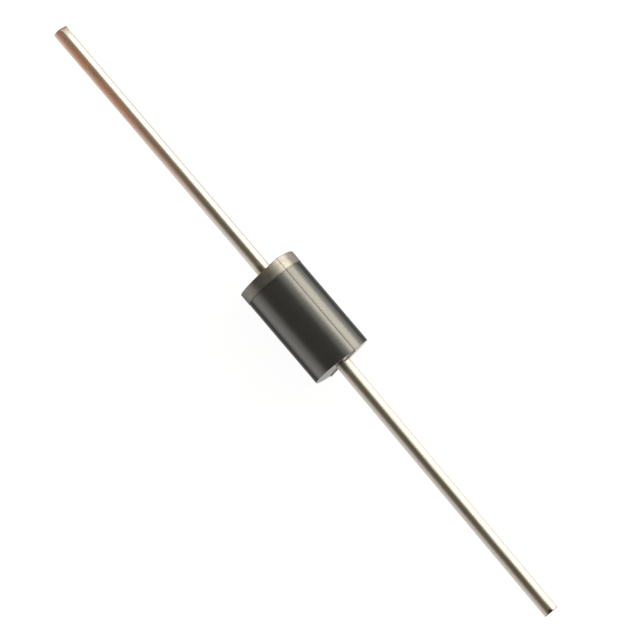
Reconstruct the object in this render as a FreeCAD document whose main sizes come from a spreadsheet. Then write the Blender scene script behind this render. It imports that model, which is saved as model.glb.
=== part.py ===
"""An axial power diode: a moulded epoxy body with a straight tinned wire lead out of each end.

Frame: the origin is at the centre of the body, on the wire axis. +X runs along the leads from the
cathode (the banded end) to the anode, and +Z is up as the part lies on its side. Sizes are in
millimetres and degrees.

The piece that takes the most care is the moulded body: a round form with its parting-line flash all
round, moulded about the stack of nail heads, solder joints and die, which it meets face to face.
"""
import FreeCAD, Part
import os
import Sketcher

# Each size by name, with its value and what it measures.
SIZES = {
    "body_diameter": (5.3, "moulded body across its round side"),
    "body_length": (9.48, "moulded body from end face to end face"),
    "edge_bevel": (0.08, "broken edge at the body's two ends"),
    "draft_angle": (3.2, "each half of an end face, leaning back from the parting line"),
    "flash_height": (0.02, "parting-line flash above the body's round side"),
    "end_flash_height": (0.03, "parting-line flash above the two end faces"),
    "flash_width": (0.10, "thickness of the flash across the parting line"),
    "seam_angle": (27.5, "parting line, from straight up towards +Y"),
    "lead_diameter": (1.25, "tinned wire"),
    "lead_length": (25.4, "each lead outside the body, from end face to tip"),
    "tip_bevel": (0.05, "edge of a cut tip"),
    "head_diameter": (2.7, "nail head at a lead's inner end"),
    "head_thickness": (0.5, "nail head along the axis"),
    "head_bevel": (0.12, "both rims of the nail head"),
    "neck_rounding": (0.25, "fillet from the nail head down to the wire"),
    "anchor_width": (0.60, "groove round the wire that the epoxy locks into, along the axis"),
    "anchor_depth": (0.12, "anchor groove into the wire"),
    "anchor_cover": (0.10, "anchor groove's outer edge below the body's end face"),
    "cathode_facet_length": (0.45, "cutter's facet along the cathode lead's tip"),
    "cathode_facet_depth": (0.20, "cutter's facet into the cathode lead's tip"),
    "cathode_facet_angle": (40.0, "way the cathode facet faces, from up towards +Y"),
    "anode_facet_length": (0.40, "cutter's facet along the anode lead's tip"),
    "anode_facet_depth": (0.14, "cutter's facet into the anode lead's tip"),
    "anode_facet_angle": (8.0, "way the anode facet faces, from up towards +Y"),
    "die_side": (1.8, "square silicon die"),
    "die_thickness": (0.28, "die along the axis"),
    "solder_thickness": (0.08, "each solder joint along the axis"),
    "cathode_pad_diameter": (1.7, "cathode solder where it wets the die"),
    "cathode_foot_diameter": (2.1, "cathode solder where it wets the nail head"),
    "anode_pad_diameter": (1.3, "anode solder where it wets the die's smaller contact"),
    "anode_foot_diameter": (1.6, "anode solder where it wets the nail head"),
    "band_width": (1.12, "printed cathode band along the axis"),
    "ink_thickness": (0.025, "printed band above the body's surface"),
}

# Lengths that several pieces share, as expressions of the sizes.
BODY_RADIUS = "sizes.body_diameter / 2"
HALF_BODY = "sizes.body_length / 2"
FLASH_REACH = "(sizes.body_diameter / 2 + sizes.flash_height)"
FLASH_END = "(sizes.body_length / 2 + sizes.end_flash_height)"
SEAM_TURN = "90 - sizes.seam_angle"
DIE_FACE = "sizes.die_thickness / 2"
HEAD_FACE = "(sizes.die_thickness / 2 + sizes.solder_thickness)"
HEAD_RADIUS = "sizes.head_diameter / 2"
LEAD_RADIUS = "sizes.lead_diameter / 2"
LEAD_REACH = f"(sizes.body_length / 2 + sizes.lead_length - {HEAD_FACE})"
ANCHOR_END = f"(sizes.body_length / 2 - {HEAD_FACE} - sizes.anchor_cover)"

ORIGIN = FreeCAD.Vector(0, 0, 0)
X_AXIS = FreeCAD.Vector(1, 0, 0)
Y_AXIS = FreeCAD.Vector(0, 1, 0)
Z_AXIS = FreeCAD.Vector(0, 0, 1)
CLOSE = 1e-6


def add_sheet(doc):
    """Put every size in the sheet, with its name as the cell's alias."""
    sheet = doc.addObject("Spreadsheet::Sheet", "sizes")
    for row, (alias, (value, meaning)) in enumerate(SIZES.items(), 1):
        sheet.set(f"A{row}", alias)
        sheet.set(f"B{row}", str(value))
        sheet.set(f"C{row}", meaning)
        sheet.setAlias(f"B{row}", alias)
    doc.recompute()


def add_named(doc, kind, name):
    """Add an object under its own name."""
    thing = doc.addObject(kind, name)
    thing.Label = name
    return thing


def turn(thing, angle, place="Placement"):
    """Turn a piece about the X axis, by an angle given as an expression."""
    setattr(thing, place, FreeCAD.Placement(ORIGIN, FreeCAD.Rotation(X_AXIS, 90)))
    thing.setExpression(f"{place}.Rotation.Angle", angle)


def slide(thing, distance):
    """Place a piece along the X axis, at a distance given as an expression."""
    thing.setExpression("Placement.Base.x", distance)


def add_sketch(body, name, plane):
    """Start a sketch on one of the body's own origin planes."""
    sketch = body.newObject("Sketcher::SketchObject", name)
    origin_plane = next(f for f in body.Origin.OriginFeatures if f.Role == plane)
    sketch.AttachmentSupport = [(origin_plane, "")]
    sketch.MapMode = "FlatFace"
    return sketch


def hold(sketch, edge, direction, expression):
    """Hold the start of an edge at a distance from the sketch's origin, along X or Y."""
    value = float(sketch.evalExpression(expression))
    index = sketch.addConstraint(Sketcher.Constraint(direction, -1, 1, edge, 1, value))
    sketch.setExpression(f"Constraints[{index}]", expression)


def draw_outline(sketch, corners):
    """Draw a closed outline of straight edges, each corner an x and a y as expressions."""
    points = [
        FreeCAD.Vector(*(float(sketch.evalExpression(e)) for e in corner), 0) for corner in corners
    ]
    for start, end in zip(points, points[1:] + points[:1]):
        sketch.addGeometry(Part.LineSegment(start, end), False)
    for edge, (x, y) in enumerate(corners):
        follower = (edge + 1) % len(corners)
        sketch.addConstraint(Sketcher.Constraint("Coincident", edge, 2, follower, 1))
        hold(sketch, edge, "DistanceX", x)
        hold(sketch, edge, "DistanceY", y)


def draw_box(sketch, reach_x, reach_y):
    """Draw a rectangle about the sketch's origin, reaching as far each way as the expressions say."""
    low_x, low_y = f"-{reach_x}", f"-{reach_y}"
    draw_outline(sketch, [(low_x, low_y), (low_x, reach_y), (reach_x, reach_y), (reach_x, low_y)])


def draw_circle(sketch, radius):
    """Draw a circle about the sketch's origin."""
    value = float(sketch.evalExpression(radius))
    circle = sketch.addGeometry(Part.Circle(ORIGIN, Z_AXIS, value), False)
    sketch.addConstraint(Sketcher.Constraint("Coincident", circle, 3, -1, 1))
    index = sketch.addConstraint(Sketcher.Constraint("Radius", circle, value))
    sketch.setExpression(f"Constraints[{index}]", radius)


def revolve(body, name, corners):
    """Turn a half section about the X axis. The section's corners are each an x and a radius."""
    section = add_sketch(body, f"{name}_section", "XY_Plane")
    draw_outline(section, corners)
    feature = body.newObject("PartDesign::Revolution", name)
    feature.Profile = section
    feature.ReferenceAxis = (section, ["H_Axis"])
    feature.Angle = 360
    body.Document.recompute()
    return feature


def soften(body, name, base, edges, **size):
    """Fillet edges of a feature to a Radius, or chamfer them to a Size, where a test finds them."""
    names = [f"Edge{n}" for n, edge in enumerate(base.Shape.Edges, 1) if edges(edge)]
    kind = "PartDesign::Fillet" if "Radius" in size else "PartDesign::Chamfer"
    feature = body.newObject(kind, name)
    feature.Base = (base, names)
    for size_name, expression in size.items():
        feature.setExpression(size_name, expression)
    body.Document.recompute()
    return feature


def circle_at(feature, *places):
    """Test for a circle about the X axis, at one of the places, each an x and a radius."""
    spots = [tuple(float(feature.evalExpression(e)) for e in place) for place in places]

    def found(edge):
        curve = edge.Curve
        if not isinstance(curve, Part.Circle):
            return False
        return any(
            abs(curve.Center.x - x) < CLOSE and abs(curve.Radius - radius) < CLOSE
            for x, radius in spots
        )

    return found


def upright(edge):
    """Test for a straight edge along Z."""
    return isinstance(edge.Curve, Part.Line) and abs(edge.Curve.Direction.z) > 1 - CLOSE


def draft_end(body, name, end, way):
    """Lean an end back both ways from the parting plane, which is the body's own XY plane.

    The end is a place along X, as an expression, and it faces along +X or -X.
    """
    outline = add_sketch(body, f"{name}_outline", "XZ_Plane")
    side, clear = "sizes.body_diameter", f"{end} + {way} * sizes.edge_bevel"
    back = f"{end} - {way} * {side} * tan(sizes.draft_angle)"
    low, high = f"-{side}", side
    draw_outline(outline, [(end, "0"), (back, high), (clear, high), (clear, low), (back, low)])
    pocket = body.newObject("PartDesign::Pocket", name)
    pocket.Profile = outline
    pocket.setExpression("Length", "2 * sizes.body_diameter")
    pocket.Midplane = True
    body.Document.recompute()


def make_round_form(doc):
    """The round of the moulding: a cylinder along X, its end edges broken and its ends drafted."""
    body = add_named(doc, "PartDesign::Body", "round_form")
    ends = f"-{HALF_BODY}", HALF_BODY
    corners = [(ends[0], "0"), (ends[0], BODY_RADIUS), (ends[1], BODY_RADIUS), (ends[1], "0")]
    barrel = revolve(body, "barrel", corners)
    both_ends = circle_at(barrel, *((end, BODY_RADIUS) for end in ends))
    soften(body, "end_edges", barrel, both_ends, Size="sizes.edge_bevel")
    draft_end(body, "cathode_end_draft", ends[0], -1)
    draft_end(body, "anode_end_draft", ends[1], 1)
    turn(body, SEAM_TURN)
    return body


def make_flash_plate(doc):
    """The flash: a thin plate in the parting plane, which shows only where it stands proud."""
    body = add_named(doc, "PartDesign::Body", "flash_plate")
    outline = add_sketch(body, "flash_outline", "XY_Plane")
    draw_box(outline, FLASH_END, FLASH_REACH)
    plate = body.newObject("PartDesign::Pad", "plate")
    plate.Profile = outline
    plate.setExpression("Length", "sizes.flash_width")
    plate.Midplane = True
    doc.recompute()
    corner = "sizes.edge_bevel + sizes.flash_height"
    soften(body, "plate_corners", plate, upright, Radius=corner)
    turn(body, SEAM_TURN)
    return body


def make_lead(doc, pole, facet_turn):
    """A lead: wire headed like a nail at x = 0, grooved inside the epoxy and cut to length."""
    body = add_named(doc, "PartDesign::Body", f"{pole}_lead")
    head_end = "sizes.head_thickness"
    corners = [
        ("0", "0"),
        ("0", HEAD_RADIUS),
        (head_end, HEAD_RADIUS),
        (head_end, LEAD_RADIUS),
        (f"{ANCHOR_END} - sizes.anchor_width", LEAD_RADIUS),
        (f"{ANCHOR_END} - sizes.anchor_width / 2", f"{LEAD_RADIUS} - sizes.anchor_depth"),
        (ANCHOR_END, LEAD_RADIUS),
        (LEAD_REACH, LEAD_RADIUS),
        (LEAD_REACH, "0"),
    ]
    wire = revolve(body, f"{pole}_wire", corners)
    neck = circle_at(wire, (head_end, LEAD_RADIUS))
    necked = soften(body, f"{pole}_neck", wire, neck, Radius="sizes.neck_rounding")
    rims = circle_at(necked, ("0", HEAD_RADIUS), (head_end, HEAD_RADIUS))
    headed = soften(body, f"{pole}_rims", necked, rims, Size="sizes.head_bevel")
    tip_edge = circle_at(headed, (LEAD_REACH, LEAD_RADIUS))
    tip = soften(body, f"{pole}_tip", headed, tip_edge, Size="sizes.tip_bevel")
    cut_facet(body, pole, facet_turn, tip)
    return body


def cut_facet(body, pole, facet_turn, tip):
    """Cut the facet that the cutter left across the upper edge of a lead's tip."""
    length, depth = f"sizes.{pole}_facet_length", f"sizes.{pole}_facet_depth"
    sketch = add_sketch(body, f"{pole}_facet_outline", "XZ_Plane")
    turn(sketch, facet_turn, "AttachmentOffset")
    # The slanting side crosses the wire's edge one facet length back from the tip, and the tip's
    # face one facet depth down. It runs on by as much again at both ends, clear of the wire.
    inner = (f"{LEAD_REACH} - 2 * {length}", f"{LEAD_RADIUS} + {depth}")
    outer = (f"{LEAD_REACH} + {length}", f"{LEAD_RADIUS} - 2 * {depth}")
    draw_outline(sketch, [inner, (outer[0], inner[1]), outer])
    pocket = body.newObject("PartDesign::Pocket", f"{pole}_facet")
    pocket.Profile = sketch
    pocket.setExpression("Length", "2 * sizes.lead_diameter")
    pocket.Midplane = True
    body.Document.recompute()
    if pocket.Shape.Volume >= tip.Shape.Volume:
        raise RuntimeError(f"the {pole} lead's facet cut nothing")


def make_die(doc):
    """The silicon die: a sawn square, centred on the origin."""
    die = add_named(doc, "Part::Box", "silicon_die")
    die.setExpression("Length", "sizes.die_thickness")
    for side in ("Width", "Height"):
        die.setExpression(side, "sizes.die_side")
    slide(die, f"-{DIE_FACE}")
    for across in "yz":
        die.setExpression(f"Placement.Base.{across}", "-sizes.die_side / 2")
    return die


def make_solder(doc, pole):
    """A solder joint: a thin cone frustum, from the die's contact out to the nail head."""
    joint = add_named(doc, "Part::Cone", f"{pole}_solder")
    joint.setExpression("Radius1", f"sizes.{pole}_pad_diameter / 2")
    joint.setExpression("Radius2", f"sizes.{pole}_foot_diameter / 2")
    joint.setExpression("Height", "sizes.solder_thickness")
    return joint


def face_along(thing, way):
    """Point a piece's Z axis along +X or -X."""
    thing.Placement = FreeCAD.Placement(ORIGIN, FreeCAD.Rotation(Y_AXIS, 90 * way))


def make_band(doc, moulding):
    """The printed band: ink round the cathode end, over the flash, up to the broken edge."""
    body = add_named(doc, "PartDesign::Body", "band_blank")
    ring = add_sketch(body, "ink_ring", "YZ_Plane")
    draw_circle(ring, f"{BODY_RADIUS} + sizes.ink_thickness")
    ridge = add_sketch(body, "ink_over_flash", "YZ_Plane")
    ridge_reach = f"({FLASH_REACH} + sizes.ink_thickness)"
    draw_box(ridge, ridge_reach, "(sizes.flash_width / 2 + sizes.ink_thickness)")
    for sketch in (ring, ridge):
        pad = body.newObject("PartDesign::Pad", f"{sketch.Name}_pad")
        pad.Profile = sketch
        pad.setExpression("Length", "sizes.band_width")
        doc.recompute()
    draft_end(body, "ink_draft", "0", -1)
    turn(body, SEAM_TURN)
    slide(body, f"-{HALF_BODY} + sizes.edge_bevel")
    band = add_named(doc, "Part::Cut", "cathode_band")
    band.Base = body
    band.Tool = moulding
    return band


def make_diode(doc):
    """Make every piece, and return the ones that are real pieces of the diode."""
    add_sheet(doc)
    moulding = add_named(doc, "Part::Fuse", "moulding")
    moulding.Base = make_round_form(doc)
    moulding.Tool = make_flash_plate(doc)

    # The cathode lead is turned end for end, so its facet is turned the other way first.
    cathode_lead = make_lead(doc, "cathode", "sizes.cathode_facet_angle")
    cathode_lead.Placement = FreeCAD.Placement(ORIGIN, FreeCAD.Rotation(Z_AXIS, 180))
    slide(cathode_lead, f"-{HEAD_FACE}")
    anode_lead = make_lead(doc, "anode", "-sizes.anode_facet_angle")
    slide(anode_lead, HEAD_FACE)

    die = make_die(doc)
    cathode_solder = make_solder(doc, "cathode")
    face_along(cathode_solder, -1)
    slide(cathode_solder, f"-{DIE_FACE}")
    anode_solder = make_solder(doc, "anode")
    face_along(anode_solder, 1)
    slide(anode_solder, DIE_FACE)

    stack = add_named(doc, "Part::MultiFuse", "stack")
    stack.Shapes = [cathode_lead, cathode_solder, die, anode_solder, anode_lead]
    epoxy_body = add_named(doc, "Part::Cut", "epoxy_body")
    epoxy_body.Base = moulding
    epoxy_body.Tool = stack
    band = make_band(doc, moulding)
    return [epoxy_body, band, cathode_lead, anode_lead, die, cathode_solder, anode_solder]


def check(doc, pieces):
    """Stop if any object failed, or if a piece isn't one valid solid."""
    doc.recompute()
    failed = [o.Name for o in doc.Objects if {"Invalid", "Error"} & set(o.State)]
    if failed:
        raise RuntimeError(f"failed objects: {', '.join(failed)}")
    for piece in pieces:
        shape = piece.Shape
        if shape.isNull() or not shape.isValid() or len(shape.Solids) != 1:
            raise RuntimeError(f"{piece.Label} isn't one valid solid")


def main():
    doc = FreeCAD.newDocument("axial_diode")
    pieces = make_diode(doc)
    check(doc, pieces)
    os.makedirs("parts", exist_ok=True)
    for piece in pieces:
        piece.Shape.exportStep(os.path.join("parts", f"{piece.Label}.step"))
        box = piece.Shape.BoundBox
        print(f"{piece.Label}: {piece.Shape.Volume:.4f} mm3, x {box.XMin:.3f} to {box.XMax:.3f}")


main()
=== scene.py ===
"""The looks of an axial power diode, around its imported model.

A black moulded epoxy cylinder lies on a white table, with a printed cathode band and a straight
tinned copper wire out of each end. X runs along the wires, from the banded end to the other, and Z
is up. Everything is in metres.
"""

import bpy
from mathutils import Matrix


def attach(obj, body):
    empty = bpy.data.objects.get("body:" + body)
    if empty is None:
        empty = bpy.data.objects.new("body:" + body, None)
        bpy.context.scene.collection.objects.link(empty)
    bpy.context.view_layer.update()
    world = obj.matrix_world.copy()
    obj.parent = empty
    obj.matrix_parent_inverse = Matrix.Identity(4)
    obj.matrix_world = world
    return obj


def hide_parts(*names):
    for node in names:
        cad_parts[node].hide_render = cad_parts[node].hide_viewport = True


bl_info = {
    "name": "Axial power diode",
    "version": (1, 0, 0),
    "blender": (4, 5, 0),
    "location": "View3D > Sidebar > Diode",
    "description": "Dresses the packed model of an axial diode: moulding, band, wires and stage",
    "category": "Add Mesh",
}

from math import cos, pi, radians, sin, tan

import bmesh
import bpy
from mathutils import Vector

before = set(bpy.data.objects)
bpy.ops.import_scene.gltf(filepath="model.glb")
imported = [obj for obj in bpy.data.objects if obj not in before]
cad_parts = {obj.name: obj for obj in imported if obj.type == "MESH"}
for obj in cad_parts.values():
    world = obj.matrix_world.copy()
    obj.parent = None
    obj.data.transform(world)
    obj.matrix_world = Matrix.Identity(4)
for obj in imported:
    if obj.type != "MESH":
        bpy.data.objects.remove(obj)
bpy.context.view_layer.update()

MM = 0.001

# Points nearer than this are one point, in metres.
DOUBLES = 1e-7

# Degrees from which an edge is drawn sharp.
CREASE = 32


def linear(code):
    """An sRGB hex code as linear red, green and blue."""
    shares = [int(code[i:i + 2], 16) / 255 for i in (1, 3, 5)]
    return tuple(s / 12.92 if s <= 0.04045 else ((s + 0.055) / 1.055) ** 2.4 for s in shares)


def length(name, millimetres, description):
    """A length that a user can change, given in millimetres and kept in metres."""
    return bpy.props.FloatProperty(
        name=name,
        description=description,
        default=millimetres * MM,
        min=0.0,
        precision=6,
        subtype="DISTANCE",
        unit="LENGTH",
    )


def angle(name, degrees, description):
    """An angle that a user can change, given in degrees and kept in radians."""
    return bpy.props.FloatProperty(
        name=name, description=description, default=radians(degrees), subtype="ANGLE",
        unit="ROTATION",
    )


def colour(name, code, description):
    """A colour that a user can change, given as an sRGB hex code."""
    return bpy.props.FloatVectorProperty(
        name=name,
        description=description,
        default=linear(code),
        size=3,
        min=0.0,
        max=1.0,
        subtype="COLOR",
    )


class MouldingSizes(bpy.types.PropertyGroup):
    """The moulded epoxy body and its parting line."""

    radius: length("Radius", 2.65, "Round side of the moulding")
    half: length("Half length", 4.74, "Middle of the moulding to an end face")
    edge: length("Edge rounding", 0.05, "Rounding of the two end edges")
    flash: length("Flash height", 0.018, "Flash above the round side and the cathode end face")
    end_flash: length("End flash height", 0.07, "Torn flash above the anode end face")
    flash_reach: length("Flash reach", 0.09, "Parting plane to the foot of the flash")
    seam: angle("Seam angle", 27.5, "Parting plane, from straight up towards +Y")
    draft: angle("Draft", 3.2, "Each half of an end face, leaning back from the parting plane")
    shade: colour("Epoxy", "#242729", "Carbon-black epoxy")
    torn: colour("Torn flash", "#B0A596", "Flash across the end faces along the parting plane")


class BandSizes(bpy.types.PropertyGroup):
    """The ink band printed round the cathode end, from the end face's broken edge inwards."""

    end: length("End", 3.54, "Middle of the body to the band's inner edge")
    ink: length("Ink thickness", 0.02, "Ink above the epoxy")
    shade: colour("Ink", "#9B9894", "Silver marking ink")


class WireSizes(bpy.types.PropertyGroup):
    """The two headed wires."""

    radius: length("Radius", 0.625, "Tinned wire")
    reach: length("Reach", 30.14, "Middle of the body to a cut tip")
    bevel: length("Tip bevel", 0.05, "Edge of a cut tip")
    head: length("Head radius", 1.35, "Nail head inside the moulding")
    face: length("Head face", 0.22, "Middle of the body to a nail head's face")
    thickness: length("Head thickness", 0.5, "Nail head along the wire")
    rim: length("Head bevel", 0.12, "Rims of the nail head")
    neck: length("Neck rounding", 0.25, "Fillet from the head to the wire")
    groove: length("Anchor groove", 0.6, "Width of the groove that the epoxy locks into")
    groove_depth: length("Groove depth", 0.12, "Depth of the anchor groove")
    groove_cover: length("Groove cover", 0.10, "Anchor groove to the end face")
    bent: length("Bent", 0.22, "Anode wire's tip, bent towards -Y")
    tin: colour("Tin", "#DED9D0", "Bright tin")
    copper: colour("Copper", "#EDB597", "Copper that shows through the tin")
    root_tint: colour("Tarnish", "#F2EAD2", "Yellowed tin at the cathode wire's root")
    flux: colour("Flux", "#8C8A80", "Burnt flux beside the moulding")


class StageSettings(bpy.types.PropertyGroup):
    """Camera, lights and table."""

    azimuth: angle("Azimuth", 49.75, "Camera's turn about Z")
    elevation: angle("Elevation", 83.5, "Camera's height")
    distance: length("Distance", 250, "Camera to the diode")
    lens: bpy.props.FloatProperty(
        name="Lens", description="Focal length in millimetres", default=178.2, min=1.0,
    )


def select(piece, test, kind="verts"):
    """Select the piece's vertices or faces that pass a test. The piece is in edit mode."""
    bpy.ops.mesh.select_all(action="DESELECT")
    mesh = bmesh.from_edit_mesh(piece.data)
    for element in getattr(mesh, kind):
        if test(element):
            element.select_set(True)
    mesh.select_flush(True)
    bmesh.update_edit_mesh(piece.data)


def start_piece(name, primitive, **settings):
    """Add a primitive at the origin with nothing else selected, and open it in edit mode."""
    bpy.ops.object.select_all(action="DESELECT")
    primitive(**settings)
    bpy.ops.object.transform_apply(location=True, rotation=True, scale=True)
    piece = bpy.context.object
    piece.name = piece.data.name = name
    bpy.ops.object.mode_set(mode="EDIT")
    bpy.ops.mesh.select_mode(type="VERT")
    bpy.ops.mesh.select_all(action="SELECT")
    return piece


def turn(axis, amount, centre):
    """Turn what is selected about an axis through a centre, by an amount counted as usual.

    With no window the operator turns the other way.
    """
    bpy.ops.transform.rotate(value=-amount, orient_axis=axis, center_override=centre)


def finish_piece():
    """Merge doubles, point faces outwards, leave edit mode and shade the open piece smooth."""
    bpy.ops.mesh.select_all(action="SELECT")
    bpy.ops.mesh.remove_doubles(threshold=DOUBLES)
    bpy.ops.mesh.normals_make_consistent(inside=False)
    bpy.ops.object.mode_set(mode="OBJECT")
    bpy.ops.object.shade_smooth_by_angle(angle=radians(CREASE))


def arc(centre, radius, start, end, steps):
    """Points along an arc in the half section, each an x and a distance from the axis."""
    turns = [radians(start + (end - start) * i / steps) for i in range(steps + 1)]
    return [(centre[0] + radius * cos(t), centre[1] + radius * sin(t)) for t in turns]


def wire_side(sizes, half):
    """Half section of a wire inside the moulding, from the end face in to the nail head's rim."""
    groove_end = half - sizes.groove_cover
    groove_start = groove_end - sizes.groove
    shoulder = sizes.face + sizes.thickness
    corner = (shoulder + sizes.neck, sizes.radius + sizes.neck)
    return [
        (half, sizes.radius),
        (groove_end, sizes.radius),
        ((groove_end + groove_start) / 2, sizes.radius - sizes.groove_depth),
        (groove_start, sizes.radius),
        *arc(corner, sizes.neck, 270, 180, 5),
        (shoulder, sizes.head - sizes.rim),
        (shoulder - sizes.rim, sizes.head),
        (sizes.face + sizes.rim, sizes.head),
    ]


# The rows of the moulding's half section between its corners, in millimetres: on an end face out
# from the axis, under the band from its inner edge, and on the round side from the middle.
FACE_ROWS = [0.70, 0.82, 1.0, 1.25, 1.5, 1.75, 2.0, 2.25]
BAND_ROWS = [0.8, 0.5, 0.25, 0.0]
ROUND_ROWS = [3.1, 2.7, 2.3, 1.9, 1.4, 0.9, 0.45]


def moulding_section(body, wire, band):
    """The moulding's closed half section, from the middle of its cavity out and round.

    It has a corner at the band's inner edge, so that the band ends on it.
    """
    cavity = wire.face + wire.rim / 2
    inside = [(cavity, wire.head - wire.rim / 2), *reversed(wire_side(wire, body.half))]
    face = [(body.half, r * MM) for r in FACE_ROWS]
    corner = (body.half - body.edge, body.radius - body.edge)
    edge = arc(corner, body.edge, 0, 90, 5)
    under_band = [(band.end + x * MM, body.radius) for x in BAND_ROWS]
    barrel = [(x * MM, body.radius) for x in ROUND_ROWS]
    side = [*inside, *face, *edge, *under_band, *barrel]
    return side + [(0.0, body.radius)] + [(-x, r) for x, r in reversed(side)]


# How a half turn of the moulding is divided, from the parting plane round to it again: steps and
# degrees. The steps are fine where the flash stands.
HALF_TURN = [(6, 3), (6, 6), (3, 6), (50, 150), (3, 6), (6, 6), (6, 3)]

# The flash's rounded outline, as shares of its reach from the parting plane. Each share is raised
# by the same part of the flash's height.
FLASH_STAGES = [0.95, 0.75, 0.55, 0.35]


class DIODE_OT_moulding(bpy.types.Operator):
    """Turn the moulding from its half section, raise its flash and lean its end faces back"""

    bl_idname = "diode.moulding"
    bl_label = "Moulded body"

    def execute(self, context):
        body, wire = context.scene.diode_moulding, context.scene.diode_wire
        piece = start_piece("moulded_body", bpy.ops.mesh.primitive_plane_add, size=MM)
        bpy.ops.mesh.merge(type="CENTER")
        section = moulding_section(body, wire, context.scene.diode_band)
        spots = [Vector((x, 0, r)) for x, r in section + section[:1]]
        bpy.ops.transform.translate(value=spots[0])
        for last, spot in zip(spots, spots[1:]):
            bpy.ops.mesh.extrude_region_move(TRANSFORM_OT_translate={"value": spot - last})
        bpy.ops.mesh.select_all(action="SELECT")
        bpy.ops.mesh.remove_doubles(threshold=DOUBLES)
        for steps, degrees in HALF_TURN * 2:
            bpy.ops.mesh.spin(
                steps=steps, angle=radians(degrees), center=(0, 0, 0), axis=(1, 0, 0)
            )
        bpy.ops.mesh.select_all(action="SELECT")
        bpy.ops.mesh.remove_doubles(threshold=DOUBLES)

        # The parting plane is the XZ plane so far. The flash on an end face runs in to the wire.
        past_edge = body.edge * 1.01
        barrel_from = body.radius - past_edge
        face_from = body.half - past_edge
        near_wire = wire.radius * 0.8
        for share in FLASH_STAGES:
            reach = body.flash_reach * share
            for way, end_flash in ((1, body.end_flash), (-1, body.flash)):
                select(piece, lambda v: abs(v.co.y) < reach and v.co.z * way > barrel_from)
                lift = body.flash / len(FLASH_STAGES)
                bpy.ops.transform.translate(value=(0, 0, way * lift))
                select(piece, lambda v: (
                    abs(v.co.y) < reach and v.co.x * way > face_from and abs(v.co.z) > near_wire
                ))
                lift = end_flash / len(FLASH_STAGES)
                bpy.ops.transform.translate(value=(way * lift, 0, 0))
        for way in (1, -1):
            for side in (1, -1):
                select(piece, lambda v: v.co.x * way > face_from and v.co.y * side > DOUBLES)
                hinge = (way * body.half, 0, 0)
                turn("Z", way * side * body.draft, hinge)
                bpy.ops.transform.resize(
                    value=(1, 1 / cos(body.draft), 1), center_override=hinge
                )
        bpy.ops.mesh.select_all(action="SELECT")
        turn("X", -body.seam, (0, 0, 0))
        finish_piece()

        piece.data.materials.append(epoxy_material(body, "moulded_epoxy", ROUND_SKIN))
        piece.data.materials.append(epoxy_material(body, "moulded_end_face", END_SKIN))
        # The end skin is on what faces out along the wires and on all flash that stands on it.
        for face in piece.data.polygons:
            end = abs(face.center.x) > face_from - body.radius * tan(body.draft)
            proud = abs(face.center.x) > body.half + DOUBLES
            face.material_index = 1 if end and (proud or abs(face.normal.x) > 0.6) else 0
        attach(piece, "root")
        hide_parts("epoxy_body")
        return {"FINISHED"}


class DIODE_OT_band(bpy.types.Operator):
    """Lift the printed band off the moulding's own skin and give it its ink's thickness"""

    bl_idname = "diode.band"
    bl_label = "Cathode band"

    def execute(self, context):
        band = context.scene.diode_band
        body = context.scene.diode_moulding
        bpy.ops.object.select_all(action="DESELECT")
        moulding = bpy.data.objects["moulded_body"]
        moulding.select_set(True)
        context.view_layer.objects.active = moulding
        bpy.ops.object.duplicate(linked=False)
        piece = context.object
        piece.name = piece.data.name = "printed_band"
        for key in list(piece.keys()):
            del piece[key]
        bpy.ops.object.mode_set(mode="EDIT")
        bpy.ops.mesh.select_mode(type="FACE")
        across = Vector((0, cos(body.seam), -sin(body.seam)))

        def printed(face):
            """Whether a face of the moulding lies under the band."""
            middle = face.calc_center_median()
            outer = body.half - body.edge - abs(middle.dot(across)) * tan(body.draft)
            return -outer < middle.x < -band.end and middle.yz.length > body.radius - body.edge

        select(piece, lambda f: not printed(f), "faces")
        bpy.ops.mesh.delete(type="FACE")
        bpy.ops.object.mode_set(mode="OBJECT")
        wall = piece.modifiers.new("ink", "SOLIDIFY")
        wall.thickness = band.ink
        wall.offset = 1
        wall.use_even_offset = True
        bpy.ops.object.modifier_apply(modifier=wall.name)
        bpy.ops.object.mode_set(mode="EDIT")
        bpy.ops.mesh.select_mode(type="VERT")
        finish_piece()

        piece.data.materials.clear()
        piece.data.materials.append(ink_material(band, body))
        for face in piece.data.polygons:
            face.material_index = 0
        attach(piece, "root")
        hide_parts("cathode_band")
        return {"FINISHED"}


# Each wire: its piece's name, its node, its way along X, whether it is bent, and its cutter's
# facet: length and depth in millimetres, and the degrees from up towards +Y that it faces.
WIRES = [
    ("cathode_wire", "cathode_lead", -1, 0, 0.55, 0.22, 40),
    ("anode_wire", "anode_lead", 1, 1, 0.30, 0.05, -8),
]

# The corners of a wire's rings, and how many rings it has outside the moulding.
WIRE_SIDES = 64
WIRE_ROWS = 26


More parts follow.
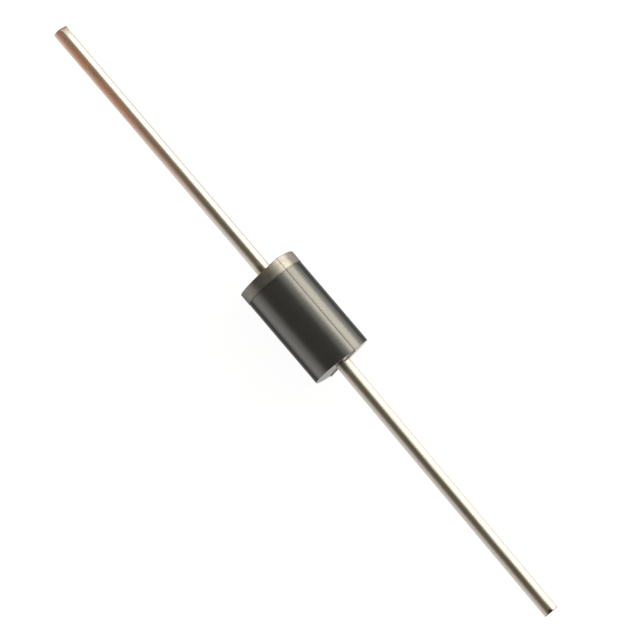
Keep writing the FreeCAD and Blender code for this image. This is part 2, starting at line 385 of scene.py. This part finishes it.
class DIODE_OT_wires(bpy.types.Operator):
    """Draw each wire out ring by ring, from its nail head to its cut tip, and cut its facet"""

    bl_idname = "diode.wires"
    bl_label = "Wires"

    def execute(self, context):
        wire = context.scene.diode_wire
        body = context.scene.diode_moulding
        for name, node, way, is_bent, facet_length, facet_depth, facing in WIRES:
            bent = wire.bent * is_bent
            piece = start_piece(
                name,
                bpy.ops.mesh.primitive_circle_add,
                vertices=WIRE_SIDES,
                radius=wire.head - wire.rim,
                fill_type="NGON",
                rotation=(0, pi / 2, 0),
            )
            bpy.ops.transform.translate(value=(way * wire.face, 0, 0))
            rows = list(reversed(wire_side(wire, body.half)))
            end = wire.reach - wire.bevel
            for i in range(1, WIRE_ROWS + 1):
                rows.append((body.half + (end - body.half) * i / WIRE_ROWS, wire.radius))
            rows.append((wire.reach, wire.radius - wire.bevel))
            x, y, r = wire.face, 0.0, wire.head - wire.rim
            for to_x, to_r in rows:
                outside = max(to_x - body.half, 0) / (wire.reach - body.half)
                to_y = -bent * outside
                bpy.ops.mesh.extrude_region_move(
                    TRANSFORM_OT_translate={"value": (way * (to_x - x), to_y - y, 0)}
                )
                scale = to_r / r
                bpy.ops.transform.resize(
                    value=(1, scale, scale), center_override=(way * to_x, to_y, 0)
                )
                x, y, r = to_x, to_y, to_r

            slant = facet_depth / facet_length
            up = Vector((0, sin(radians(facing)), cos(radians(facing))))
            corner = Vector((way * (wire.reach - facet_length * MM), -bent, 0)) + up * wire.radius
            normal = (Vector((way * slant, 0, 0)) + up).normalized()
            bpy.ops.mesh.select_all(action="SELECT")
            bpy.ops.mesh.bisect(
                plane_co=corner, plane_no=normal, use_fill=True, clear_outer=True,
                threshold=DOUBLES,
            )
            finish_piece()

            piece.data.materials.append(tinned_wire_material(wire, body.half, way))
            piece.data.materials.append(sheared_copper_material(wire, way))
            for face in piece.data.polygons:
                tip = face.center.x * way > wire.reach - facet_length * MM
                cut = face.normal.dot(normal) > 0.999 or face.normal.x * way > 0.5
                face.material_index = 1 if tip and cut else 0
            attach(piece, "root")
            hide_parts(node)
        return {"FINISHED"}


class DIODE_OT_inside(bpy.types.Operator):
    """Give the die and its solder joints, inside the moulding, their own materials"""

    bl_idname = "diode.inside"
    bl_label = "Die and solder"

    def execute(self, context):
        finishes = {
            "silicon_die": silicon_material(),
            "cathode_solder": solder_material(),
            "anode_solder": solder_material(),
        }
        for node, material in finishes.items():
            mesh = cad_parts[node].data
            mesh.materials.clear()
            mesh.materials.append(material)
        return {"FINISHED"}


def add_node(tree, kind, inputs=None, **settings):
    """Add a node. Inputs are values or other nodes' outputs, and settings are its own."""
    node = tree.nodes.new(kind)
    for name, value in settings.items():
        setattr(node, name, value)
    for socket, value in (inputs or {}).items():
        if isinstance(value, bpy.types.NodeSocket):
            tree.links.new(value, node.inputs[socket])
        else:
            node.inputs[socket].default_value = value
    return node


def start_material(name):
    """A material, its empty node tree, and the piece's own coordinates in it."""
    material = bpy.data.materials.new(name)
    material.use_nodes = True
    tree = material.node_tree
    tree.nodes.clear()
    return material, tree, add_node(tree, "ShaderNodeTexCoord").outputs["Object"]


def finish_surface(tree, inputs):
    """Give a material a principled surface with these inputs."""
    shader = add_node(tree, "ShaderNodeBsdfPrincipled", inputs)
    add_node(tree, "ShaderNodeOutputMaterial", {"Surface": shader.outputs["BSDF"]})


def opaque(rgb):
    """A colour with its alpha."""
    return (*rgb, 1.0)


def noise(tree, place, size, detail=2.0, roughness=0.5):
    """Noise whose largest features have a size in millimetres."""
    return add_node(tree, "ShaderNodeTexNoise", {
        "Vector": place, "Scale": 1 / (size * MM), "Detail": detail, "Roughness": roughness,
    }).outputs["Fac"]


def split(tree, vector):
    """A vector's parts along X, Y and Z, by name."""
    return add_node(tree, "ShaderNodeSeparateXYZ", {"Vector": vector}).outputs


def ramp(tree, value, start, end, low=0.0, high=1.0):
    """A value taken from start and end to low and high, easing out of one and into the other."""
    return add_node(tree, "ShaderNodeMapRange", {
        "Value": value, "From Min": start, "From Max": end, "To Min": low, "To Max": high,
    }, interpolation_type="SMOOTHSTEP").outputs["Result"]


def straight(tree, value, start, end, low=0.0, high=1.0):
    """A value taken from start and end to low and high in a straight line."""
    return add_node(tree, "ShaderNodeMapRange", {
        "Value": value, "From Min": start, "From Max": end, "To Min": low, "To Max": high,
    }).outputs["Result"]


def calculate(tree, operation, *values):
    """The result of an operation on values or other nodes' outputs."""
    node = add_node(tree, "ShaderNodeMath", dict(enumerate(values)), operation=operation)
    return node.outputs["Value"]


def blend(tree, share, first, second, **settings):
    """A first colour with its share of a second one."""
    inputs = {"Factor": share, 6: first, 7: second}
    return add_node(tree, "ShaderNodeMix", inputs, data_type="RGBA", **settings).outputs[2]


def relief(tree, height, strength, depth):
    """The slopes of a relief with a depth in millimetres."""
    return add_node(tree, "ShaderNodeBump", {
        "Height": height, "Strength": strength, "Distance": depth * MM,
    }).outputs["Normal"]


# The moulding's skins: least and most roughness, the slants between which the gloss fades, and
# the specular level left there. The round side was moulded against spark-eroded steel and the end
# faces against polished inserts.
ROUND_SKIN = (0.24, 0.30, 0.36, 0.58, 0.01)
END_SKIN = (0.08, 0.14, 0.75, 0.90, 0.009)

# How far from the parting plane an end face is dull from its torn flash: all of it, and none.
TORN_FROM = 0.09 * MM
TORN_TO = 0.16 * MM


def epoxy_material(body, name, skin):
    """Transfer-moulded epoxy, black with carbon and full of ground silica.

    The mould's skin leaves a fine grain, so highlights have soft edges. The resin's flow leaves
    the gloss a little uneven, and the gloss fades at a glancing angle.
    """
    least, most, start, end, faded = skin
    material, tree, place = start_material(name)
    # Grain of 0.09 mm, a little coarser than the real one, which wouldn't show.
    grain = noise(tree, place, 0.09, 3.0, 0.6)
    flow = noise(tree, place, 1.6)
    dark, pale = opaque(Vector(body.shade) * 0.8), opaque(Vector(body.shade) * 1.25)
    shade = blend(tree, grain, dark, pale)
    gloss = straight(tree, flow, 0.3, 0.7, least, most)
    slant = add_node(tree, "ShaderNodeLayerWeight", {"Blend": 0.5}).outputs["Facing"]
    level = ramp(tree, slant, start, end, 0.5, faded)
    if skin == END_SKIN:
        # Along the parting plane an end face is dull and brown, where the flash was torn off it.
        across = add_node(tree, "ShaderNodeVectorMath", {
            0: place, 1: (0, cos(body.seam), -sin(body.seam)),
        }, operation="DOT_PRODUCT").outputs["Value"]
        away = calculate(tree, "ABSOLUTE", across)
        torn = straight(tree, away, TORN_FROM, TORN_TO, 1.0, 0.0)
        shade = blend(tree, torn, shade, opaque(body.torn))
        gloss = calculate(tree, "MAXIMUM", gloss, torn)
        level = add_node(tree, "ShaderNodeMix", {"Factor": torn, 2: level, 3: 0.0}).outputs[0]
    finish_surface(tree, {
        "Base Color": shade,
        "Roughness": gloss,
        "IOR": 2.15,
        "Specular IOR Level": level,
        "Normal": relief(tree, grain, 0.5, 0.004),
    })
    return material


def ink_material(band, body):
    """Pad-printed silver epoxy ink: fine aluminium flakes in a binder, printed thin and cured.

    Its flakes lie flat, so it is bright in a highlight and dull elsewhere. It is patchy and thins
    out towards its inner edge, where the moulding's black shows through. Towards -Y it is
    darkened as painted shade.
    """
    material, tree, place = start_material("silver_marking_ink")
    # Flakes of 0.10 mm, several times the real size, which wouldn't show.
    flakes = noise(tree, place, 0.10, 3.0, 0.6)
    patches = noise(tree, place, 0.7, 3.0, 0.55)
    axes = split(tree, place)
    ragged = straight(tree, flakes, 0.2, 0.8, -0.05 * MM, 0.05 * MM)
    inward = calculate(tree, "ADD", axes["X"], ragged)
    cover = ramp(tree, inward, -band.end - 0.20 * MM, -band.end + 0.02 * MM, 1.0, 0.35)
    # The ink's own patches, and painted shade that darkens it towards -Y.
    for thin in (
        straight(tree, patches, 0.34, 0.52, 0.72, 1.0),
        ramp(tree, axes["Y"], -0.4 * MM, -1.3 * MM, 1.0, 0.75),
    ):
        cover = calculate(tree, "MULTIPLY", cover, thin)
    finish_surface(tree, {
        "Base Color": blend(tree, cover, opaque(body.shade), opaque(band.shade)),
        "Metallic": 1.0,
        "Roughness": straight(tree, flakes, 0.3, 0.7, 0.36, 0.45),
        "Specular Tint": (0.5, 0.5, 0.5, 1),
        "Normal": relief(tree, flakes, 0.5, 0.004),
    })
    return material


# Each wire's tin, by the wire's way along X: where copper starts to show and where all of it
# would, in millimetres along X, the lower side's brightness under painted shade, and how much
# rougher the upper is.
WEAR_AND_SHADE = {-1: (-7, -26, 0.93, 0.0), 1: (27, 40, 0.84, 0.22)}


def tinned_wire_material(wire, half, way):
    """Drawn copper wire with a bright tin coat.

    Drawing leaves fine lines along the wire. The tin is warm and bright, and towards the cathode
    wire's cut end it has worn thin on the lower side, where copper shows through. The lower side
    is that towards -Y, and the upper side that towards +Y, as the photo shows them.
    """
    shows, bare, lower_shade_share, upper_rough = WEAR_AND_SHADE[way]
    material, tree, place = start_material("tinned_copper_wire")
    # Drawing lines about 0.06 mm apart and 4 mm long.
    stretched = add_node(tree, "ShaderNodeMapping", {
        "Vector": place, "Scale": (1 / (4 * MM), 1 / (0.06 * MM), 1 / (0.06 * MM)),
    }).outputs["Vector"]
    lines = add_node(tree, "ShaderNodeTexNoise", {
        "Vector": stretched, "Scale": 1.0, "Detail": 2.0, "Roughness": 0.5,
    }).outputs["Fac"]
    cloud = noise(tree, place, 1.2, 3.0, 0.55)
    axes = split(tree, place)
    # The distance towards +Y from the wire's axis, which on the anode wire is bent.
    lean = wire.bent / (wire.reach - half) if way > 0 else 0.0
    across = calculate(tree, "MULTIPLY_ADD", axes["X"], lean, -lean * half)
    across = calculate(tree, "ADD", across, axes["Y"])
    # The tin is worn on the lower side, in patches, and less where the wire turns down out of
    # reach of what rubbed it.
    worn = ramp(tree, axes["X"], shows * MM, bare * MM)
    for share in (
        ramp(tree, across, 0.10 * MM, -0.15 * MM),
        straight(tree, cloud, 0.25, 0.6, 0.6, 1.0),
        straight(tree, across, -0.61 * MM, -0.42 * MM, 0.35, 1.0),
    ):
        worn = calculate(tree, "MULTIPLY", worn, share)
    # Painted shade: the tin on the lower side is darkened, more on the anode wire.
    below = ramp(tree, across, 0.05 * MM, -0.15 * MM)
    shade = blend(tree, below, opaque(wire.tin), opaque(Vector(wire.tin) * lower_shade_share))
    shade = blend(tree, worn, shade, opaque(wire.copper))
    # A dark streak of burnt flux along the top, beside the body.
    streak = ramp(tree, axes["X"], way * 5.2 * MM, way * 5.9 * MM, 1.0, 0.0)
    for start, end in ((0.10, -0.05), (-0.42, -0.28)):
        streak = calculate(tree, "MULTIPLY", streak, ramp(tree, across, start * MM, end * MM))
    shade = blend(tree, streak, shade, opaque(wire.flux))
    if way < 0:
        # The cathode wire's root is tinted yellow.
        root = ramp(tree, axes["X"], -4.9 * MM, -5.6 * MM, 1.0, 0.0)
        shade = blend(tree, root, shade, opaque(wire.root_tint), blend_type="MULTIPLY")
    gloss = straight(tree, lines, 0.3, 0.7, 0.20, 0.32)
    for share, rougher in (
        (ramp(tree, across, -0.16 * MM, -0.46 * MM), 0.2),
        (worn, 0.30),
        (streak, 0.4),
        (ramp(tree, across, -0.04 * MM, 0.12 * MM), upper_rough),
    ):
        gloss = calculate(tree, "MULTIPLY_ADD", share, rougher, gloss)
    finish_surface(tree, {
        "Base Color": shade,
        "Metallic": 1.0,
        "Roughness": gloss,
        "Normal": relief(tree, lines, 0.4, 0.002),
    })
    return material


# Each wire's cut tip, by the wire's way along X: the least and most tin smeared over it, and how
# much of the copper's brightness is left under painted shade.
TIPS = {-1: (0.5, 0.9, 0.35), 1: (0.0, 0.15, 0.13)}


def sheared_copper_material(wire, way):
    """Copper laid bare where the wire was sheared, its brightness cut down as painted shade, and
    brown at the rim.

    The cutter smeared tin over the cathode wire's facet. The anode wire's facet faces up at the
    dark ceiling, and is painted darkest as shade.
    """
    least, most, copper_shade_share = TIPS[way]
    material, tree, place = start_material("sheared_copper")
    smear = noise(tree, place, 0.35, 3.0, 0.6)
    brown_to, tin_from = way * (wire.reach - 0.06 * MM), way * (wire.reach - 0.20 * MM)
    share = calculate(
        tree, "MULTIPLY", straight(tree, smear, 0.35, 0.65, least, most),
        straight(tree, split(tree, place)["X"], brown_to, tin_from),
    )
    # Painted shade: the facets' copper is darkened.
    copper, tin = opaque(Vector(wire.copper) * copper_shade_share), opaque(Vector(wire.tin) * 0.85)
    finish_surface(tree, {
        "Base Color": blend(tree, share, copper, tin),
        "Metallic": 1.0,
        "Roughness": 0.55,
        "Normal": relief(tree, smear, 0.6, 0.02),
    })
    return material


def silicon_material():
    """A sawn silicon die: polished dark grey, with saw marks a few hundredths wide."""
    material, tree, place = start_material("sawn_silicon")
    saw = noise(tree, place, 0.05)
    finish_surface(tree, {
        "Base Color": blend(tree, saw, opaque(linear("#3F4248")), opaque(linear("#5B5F66"))),
        "Metallic": 0.6,
        "Roughness": straight(tree, saw, 0.0, 1.0, 0.12, 0.3),
    })
    return material


def solder_material():
    """High-lead die-attach solder, reflowed: dull grey metal with a coarse frozen grain."""
    material, tree, place = start_material("die_solder")
    frost = add_node(tree, "ShaderNodeTexVoronoi", {
        "Vector": place, "Scale": 1 / (0.08 * MM),
    }).outputs["Distance"]
    finish_surface(tree, {
        "Base Color": blend(tree, frost, opaque(linear("#B9BABD")), opaque(linear("#8F9094"))),
        "Metallic": 1.0,
        "Roughness": straight(tree, frost, 0.0, 1.0, 0.3, 0.5),
    })
    return material


# The table: the share of it that is even white, how bright that is, and its tint in a reflection.
TABLE_EVEN = 0.88
TABLE_WHITE = 1.08
TABLE_TINT = (1, 0.965, 0.915)


def table_material():
    """White lacquered board, photographed on a bright setting, so it shows as plain white.

    Most of what the camera and the reflections see is even white, and the rest is lit, so that the
    table keeps the diode's shadow.
    """
    material, tree, place = start_material("white_table")
    tooth = noise(tree, place, 3)
    shade = blend(tree, tooth, opaque(linear("#F3F3F2")), opaque(linear("#F6F6F5")))
    lit = add_node(tree, "ShaderNodeBsdfDiffuse", {"Color": shade})
    path = add_node(tree, "ShaderNodeLightPath").outputs
    mirrored = calculate(tree, "MAXIMUM", path["Is Glossy Ray"], path["Is Transmission Ray"])
    tint = blend(tree, mirrored, (1, 1, 1, 1), opaque(TABLE_TINT))
    white = add_node(tree, "ShaderNodeEmission", {"Color": tint, "Strength": TABLE_WHITE})
    seen = calculate(tree, "MAXIMUM", path["Is Camera Ray"], mirrored)
    mix = add_node(tree, "ShaderNodeMixShader", {
        "Fac": calculate(tree, "MULTIPLY", seen, TABLE_EVEN),
        1: lit.outputs["BSDF"],
        2: white.outputs["Emission"],
    })
    add_node(tree, "ShaderNodeOutputMaterial", {"Surface": mix.outputs["Shader"]})
    return material


# The studio's light, as linear red, green and blue: the ceiling, its glow over the softbox, the
# wall across from the softbox, and the far walls.
CEILING = (0.145, 0.128, 0.098)
GLOW = (0.92, 0.88, 0.77)
WALL = (0.82, 0.76, 0.71)
FILL = (0.9, 0.9, 0.9)

# Where each of them starts and is full, as a direction's part along an axis.
GLOW_Y = (0.20, 0.50)
WALL_Y = (0.1, -0.3)
WALL_Z = (sin(radians(30)), sin(radians(6)))
FILL_X = (0.45, 0.85)

# The softbox on the +Y side: the heights of its lower and upper edge in degrees, seen from the
# diode, its distance and width in metres, its radiance, and its colour.
SOFTBOX_LOW = 0.5
SOFTBOX_HIGH = 49
SOFTBOX_AWAY = 0.5
SOFTBOX_WIDE = 0.36
SOFTBOX_RADIANCE = 3.2
SOFTBOX_TINT = (1.0, 0.93, 0.77)

# The point that the camera looks at, to the right of the origin and below it in the picture.
AIM_RIGHT = 1.245 * MM
AIM_DOWN = 0.208 * MM
TABLE_SIZE = 6.0


def light_world(scene):
    """A studio with a dark warm ceiling and pale walls, and plain white behind it for the camera.

    The ceiling glows over the softbox, the wall across from it is lit, and the far walls, which
    the wires point at, are plain white fill.
    """
    world = bpy.data.worlds.new("studio")
    scene.world = world
    world.use_nodes = True
    tree = world.node_tree
    tree.nodes.clear()
    axes = split(tree, add_node(tree, "ShaderNodeTexCoord").outputs["Generated"])
    glow = ramp(tree, axes["Y"], *GLOW_Y)
    wall = calculate(
        tree, "MULTIPLY", ramp(tree, axes["Z"], *WALL_Z), ramp(tree, axes["Y"], *WALL_Y)
    )
    fill = ramp(tree, calculate(tree, "ABSOLUTE", axes["X"]), *FILL_X)
    room = opaque(CEILING)
    for share, shade in ((glow, GLOW), (wall, WALL), (fill, FILL)):
        room = blend(tree, share, room, opaque(shade))
    light = add_node(tree, "ShaderNodeBackground", {"Color": room, "Strength": 1.0})
    white = add_node(tree, "ShaderNodeBackground", {"Color": (1, 1, 1, 1), "Strength": 1.0})
    path = add_node(tree, "ShaderNodeLightPath")
    mix = add_node(tree, "ShaderNodeMixShader", {
        "Fac": path.outputs["Is Camera Ray"],
        1: light.outputs["Background"],
        2: white.outputs["Background"],
    })
    add_node(tree, "ShaderNodeOutputWorld", {"Surface": mix.outputs["Shader"]})


class DIODE_OT_stage(bpy.types.Operator):
    """Lay the table, hang the softbox and set up the camera"""

    bl_idname = "diode.stage"
    bl_label = "Stage"

    def execute(self, context):
        scene = context.scene
        settings = scene.diode_stage
        low = -scene.diode_moulding.radius - scene.diode_band.ink
        table = start_piece(
            "table", bpy.ops.mesh.primitive_grid_add,
            x_subdivisions=8, y_subdivisions=8, size=TABLE_SIZE,
        )
        bpy.ops.transform.translate(value=(0, 0, low))
        bpy.ops.object.mode_set(mode="OBJECT")
        table.data.materials.append(table_material())

        light_world(scene)
        low_z = SOFTBOX_AWAY * tan(radians(SOFTBOX_LOW))
        high_z = SOFTBOX_AWAY * tan(radians(SOFTBOX_HIGH))
        middle = Vector((0, SOFTBOX_AWAY, (low_z + high_z) / 2))
        bpy.ops.object.light_add(type="AREA", location=middle, rotation=(-pi / 2, 0, 0))
        lamp = context.object
        lamp.name = "softbox"
        lamp.data.shape = "RECTANGLE"
        lamp.data.size = SOFTBOX_WIDE
        lamp.data.size_y = high_z - low_z
        lamp.data.energy = SOFTBOX_RADIANCE * pi * SOFTBOX_WIDE * (high_z - low_z)
        lamp.data.color = SOFTBOX_TINT
        lamp.visible_camera = False

        a, e = settings.azimuth, settings.elevation
        towards = Vector((sin(a) * cos(e), -cos(a) * cos(e), sin(e)))
        right = Vector((cos(a), sin(a), 0))
        down = -towards.cross(right)
        aim = right * AIM_RIGHT + down * AIM_DOWN
        bpy.ops.object.camera_add(location=aim + towards * settings.distance)
        camera = context.object
        camera.name = "photo_camera"
        camera.rotation_euler = towards.to_track_quat("Z", "Y").to_euler()
        camera.data.lens = settings.lens
        camera.data.sensor_width = 36.0
        camera.data.clip_start = 0.01
        scene.camera = camera
        scene.view_settings.view_transform = "Standard"
        return {"FINISHED"}


class DIODE_PT_panel(bpy.types.Panel):
    """The steps that build the diode, in order"""

    bl_idname = "DIODE_PT_panel"
    bl_label = "Axial diode"
    bl_space_type = "VIEW_3D"
    bl_region_type = "UI"
    bl_category = "Diode"

    def draw(self, context):
        scene = context.scene
        for step, settings in STEPS.items():
            self.layout.operator(step)
            for name in GROUPS[settings].__annotations__ if settings else ():
                self.layout.prop(getattr(scene, settings), name)


# The steps in order, each with its settings on the scene, if it has any.
STEPS = {
    "diode.moulding": "diode_moulding",
    "diode.band": "diode_band",
    "diode.wires": "diode_wire",
    "diode.inside": "",
    "diode.stage": "diode_stage",
}
GROUPS = {
    "diode_moulding": MouldingSizes,
    "diode_band": BandSizes,
    "diode_wire": WireSizes,
    "diode_stage": StageSettings,
}
CLASSES = [
    *GROUPS.values(),
    DIODE_OT_moulding,
    DIODE_OT_band,
    DIODE_OT_wires,
    DIODE_OT_inside,
    DIODE_OT_stage,
    DIODE_PT_panel,
]


def register():
    for cls in CLASSES:
        bpy.utils.register_class(cls)
    for name, group in GROUPS.items():
        setattr(bpy.types.Scene, name, bpy.props.PointerProperty(type=group))


def unregister():
    for name in GROUPS:
        delattr(bpy.types.Scene, name)
    for cls in reversed(CLASSES):
        bpy.utils.unregister_class(cls)


def main():
    register()
    bpy.ops.diode.moulding()
    bpy.ops.diode.band()
    bpy.ops.diode.wires()
    bpy.ops.diode.inside()
    bpy.ops.diode.stage()


if __name__ == "__main__":
    main()
